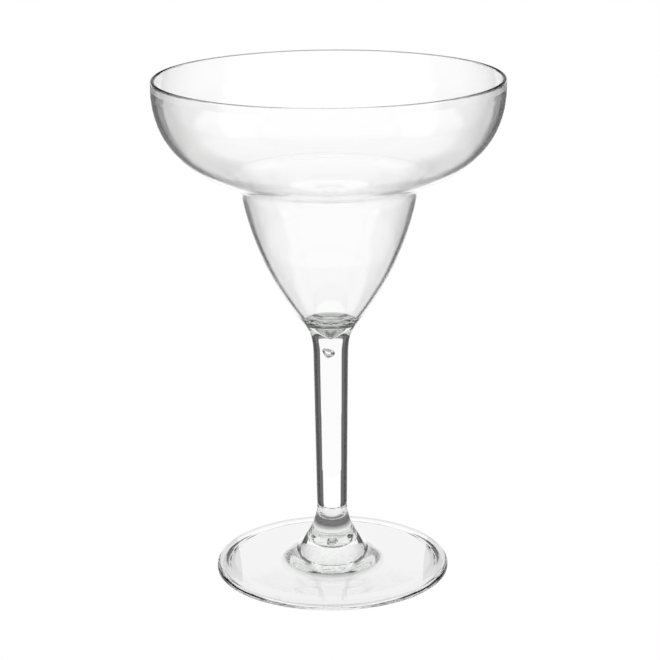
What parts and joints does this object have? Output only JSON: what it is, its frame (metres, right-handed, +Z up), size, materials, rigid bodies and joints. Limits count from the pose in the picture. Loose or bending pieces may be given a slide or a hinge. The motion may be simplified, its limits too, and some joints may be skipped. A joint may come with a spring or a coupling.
{
  "type": "margarita glass",
  "caption": "Clear stemmed cocktail glass: a wide shallow bowl over a narrow cup, on a slim solid stem and a round foot.",
  "frame": {"origin": "centre of the ring that the foot stands on", "axes": "+Z up along the glass's own axis; the glass is round, so X and Y are any two level directions"},
  "size_m": [0.1168, 0.1168, 0.172],
  "materials": {
    "bowl_clear": "clear, fire-polished",
    "stem_clear": "clear, fire-polished",
    "foot_clear": "clear, fire-polished"
  },
  "bodies": {
    "root": {"bowl": "bowl_clear", "stem": "stem_clear", "foot": "foot_clear"}
  },
  "joints": []
}
